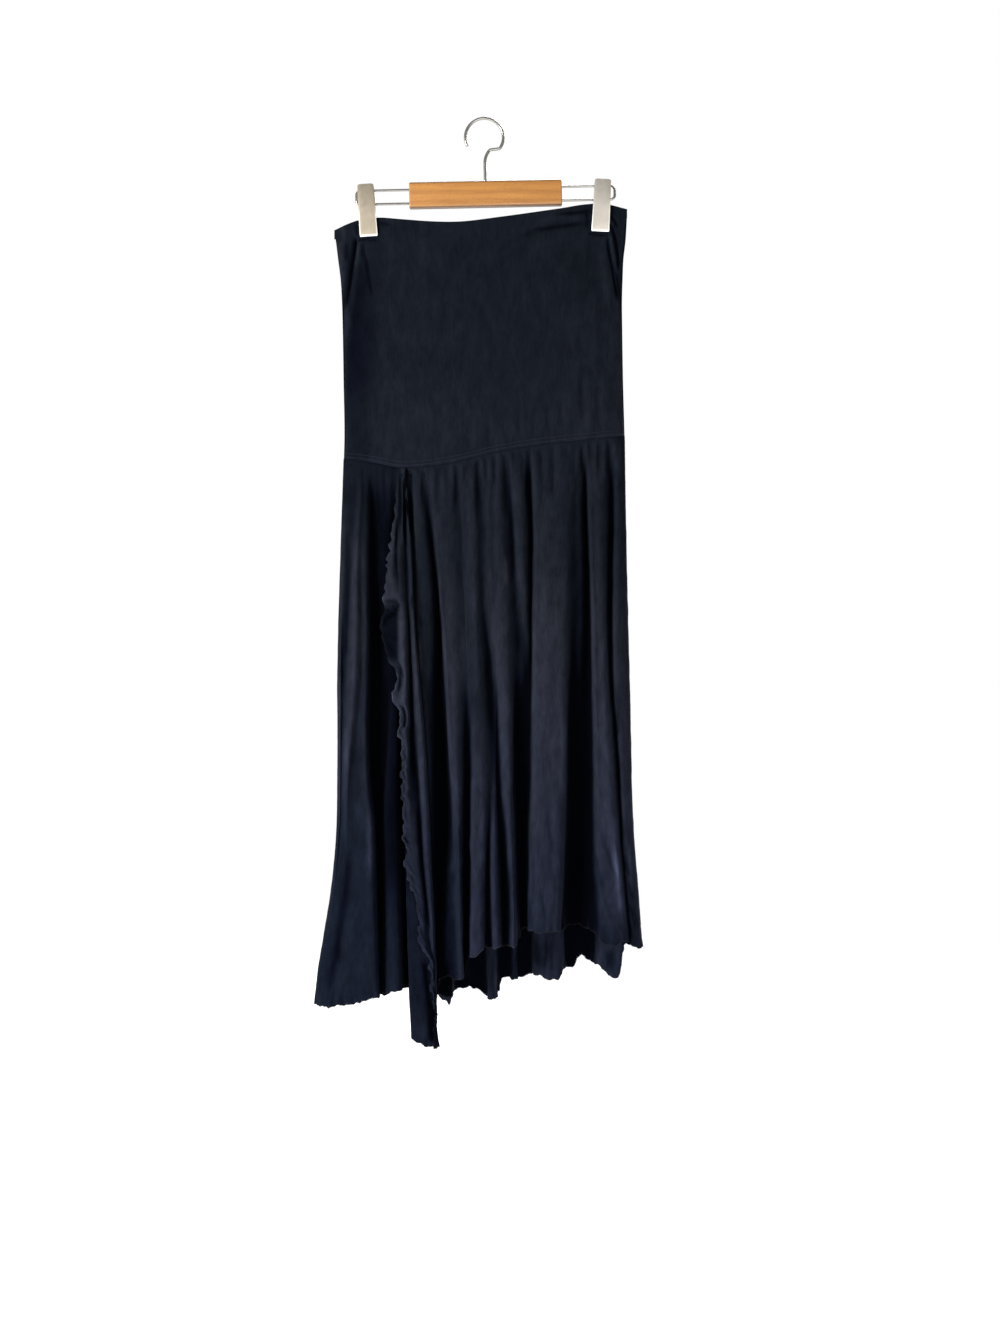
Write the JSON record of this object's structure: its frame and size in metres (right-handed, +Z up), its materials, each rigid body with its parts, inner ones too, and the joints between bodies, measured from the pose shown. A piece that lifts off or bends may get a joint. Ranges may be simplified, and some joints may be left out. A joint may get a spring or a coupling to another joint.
{
  "type": "long wrap skirt on a clip hanger",
  "caption": "Long jersey wrap skirt with a wide foldover yoke, gathered panels and a lettuce hem that falls to one point, hanging from a wooden clip hanger.",
  "frame": {"origin": "inside top of the hook's bend, where the rail carries the hanger", "axes": "+Z up; the skirt's front faces -Y; +X is the viewer's right, looking at the front"},
  "size_m": [0.3906, 0.0947, 1.1187],
  "materials": {
    "navy_jersey": "soft matt knit",
    "varnished_beech": "satin varnish",
    "bright_chrome": "bright plating"
  },
  "bodies": {
    "root": {"yoke_front": "navy_jersey", "yoke_back": "navy_jersey", "wrap_front": "navy_jersey", "under_front": "navy_jersey", "skirt_back": "navy_jersey", "hanger_bar": "varnished_beech", "hanger_hook": "bright_chrome", "hanger_rods": "bright_chrome", "clip_left_front_jaw": "bright_chrome", "clip_left_back_jaw": "bright_chrome", "clip_left_spring": "bright_chrome", "clip_right_front_jaw": "bright_chrome", "clip_right_back_jaw": "bright_chrome", "clip_right_spring": "bright_chrome"}
  },
  "joints": []
}
